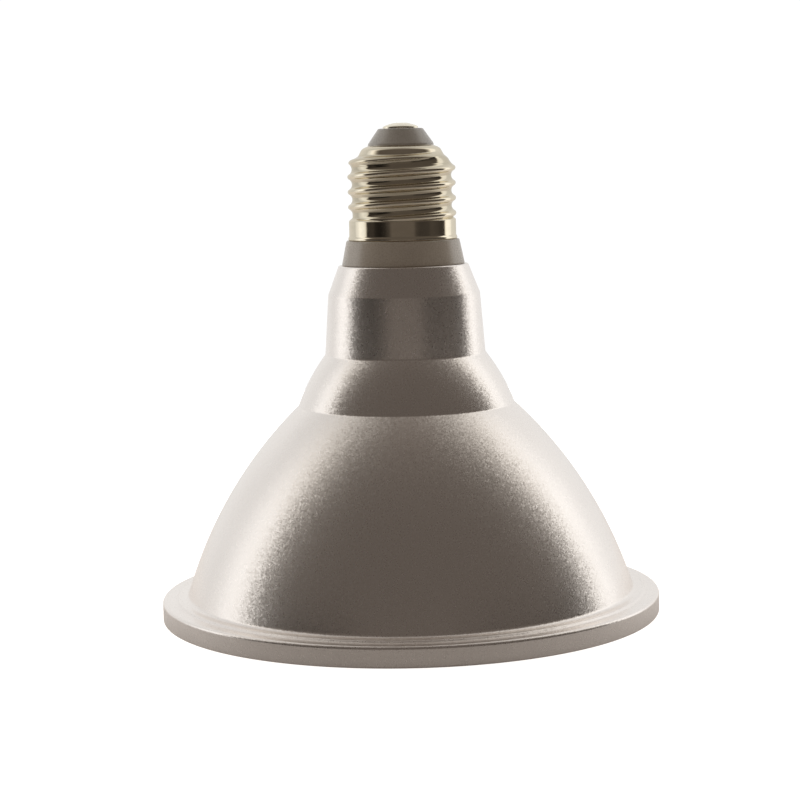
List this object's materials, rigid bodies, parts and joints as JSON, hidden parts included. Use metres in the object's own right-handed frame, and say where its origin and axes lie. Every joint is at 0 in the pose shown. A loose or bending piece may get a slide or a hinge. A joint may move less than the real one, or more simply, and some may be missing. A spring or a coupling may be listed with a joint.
{
  "type": "par spotlight bulb",
  "caption": "Reflector spotlight bulb: satin metal bell on a flat round rim, grey insulating collar, screw cap with a rolled thread, glass front over a faceted reflector.",
  "frame": {"origin": "centre of the rim's front face, on the surface that the bulb stands on", "axes": "+Z along the bulb's axis from the glass towards the screw cap; X and Y are across it, with -Y towards the viewer of the picture"},
  "size_m": [0.122, 0.122, 0.1195],
  "materials": {
    "housing": "bead-blasted satin nickel colour, fine grain",
    "lens_glass": "clear flat glass with ground edges",
    "seal_rubber": "matte silicone",
    "reflector_film": "vacuum-metallised facets",
    "plate_aluminium": "plain rolled sheet",
    "pad_rubber": "soft grey pad",
    "board_white": "white solder mask",
    "emitter_yellow": "yellow phosphor in a white package",
    "screw_steel": "zinc-plated steel",
    "collar_plastic": "warm grey moulded plastic",
    "shell_nickel": "bright nickel-plated rolled sheet",
    "insulator_plastic": "warm grey moulded plastic",
    "contact_brass": "bright brass button",
    "board_green": "green solder mask",
    "ferrite": "dark sintered ferrite",
    "coil_tape": "yellow winding tape",
    "capacitor_sleeve": "black heat-shrunk sleeve",
    "film_box": "ochre moulded box",
    "chip_black": "black moulded package",
    "resistor_body": "green lacquer",
    "lead_insulation": "white silicone sleeve"
  },
  "bodies": {
    "root": {"housing": "housing", "front_lens": "lens_glass", "lens_seal": "seal_rubber", "reflector": "reflector_film", "led_carrier": "plate_aluminium", "thermal_pad": "pad_rubber", "led_board": "board_white", "led_chips": "emitter_yellow", "board_screws": "screw_steel", "lead_grommet": "seal_rubber", "driver_cup": "collar_plastic", "screw_shell": "shell_nickel", "cap_insulator": "insulator_plastic", "centre_contact": "contact_brass", "driver_board": "board_green", "transformer_core": "ferrite", "transformer_winding": "coil_tape", "output_capacitor": "capacitor_sleeve", "film_capacitor": "film_box", "filter_choke": "ferrite", "bridge_rectifier": "chip_black", "driver_chip": "chip_black", "fuse_resistor": "resistor_body", "contact_lead": "lead_insulation", "shell_lead": "lead_insulation", "light_leads": "lead_insulation"}
  },
  "joints": []
}
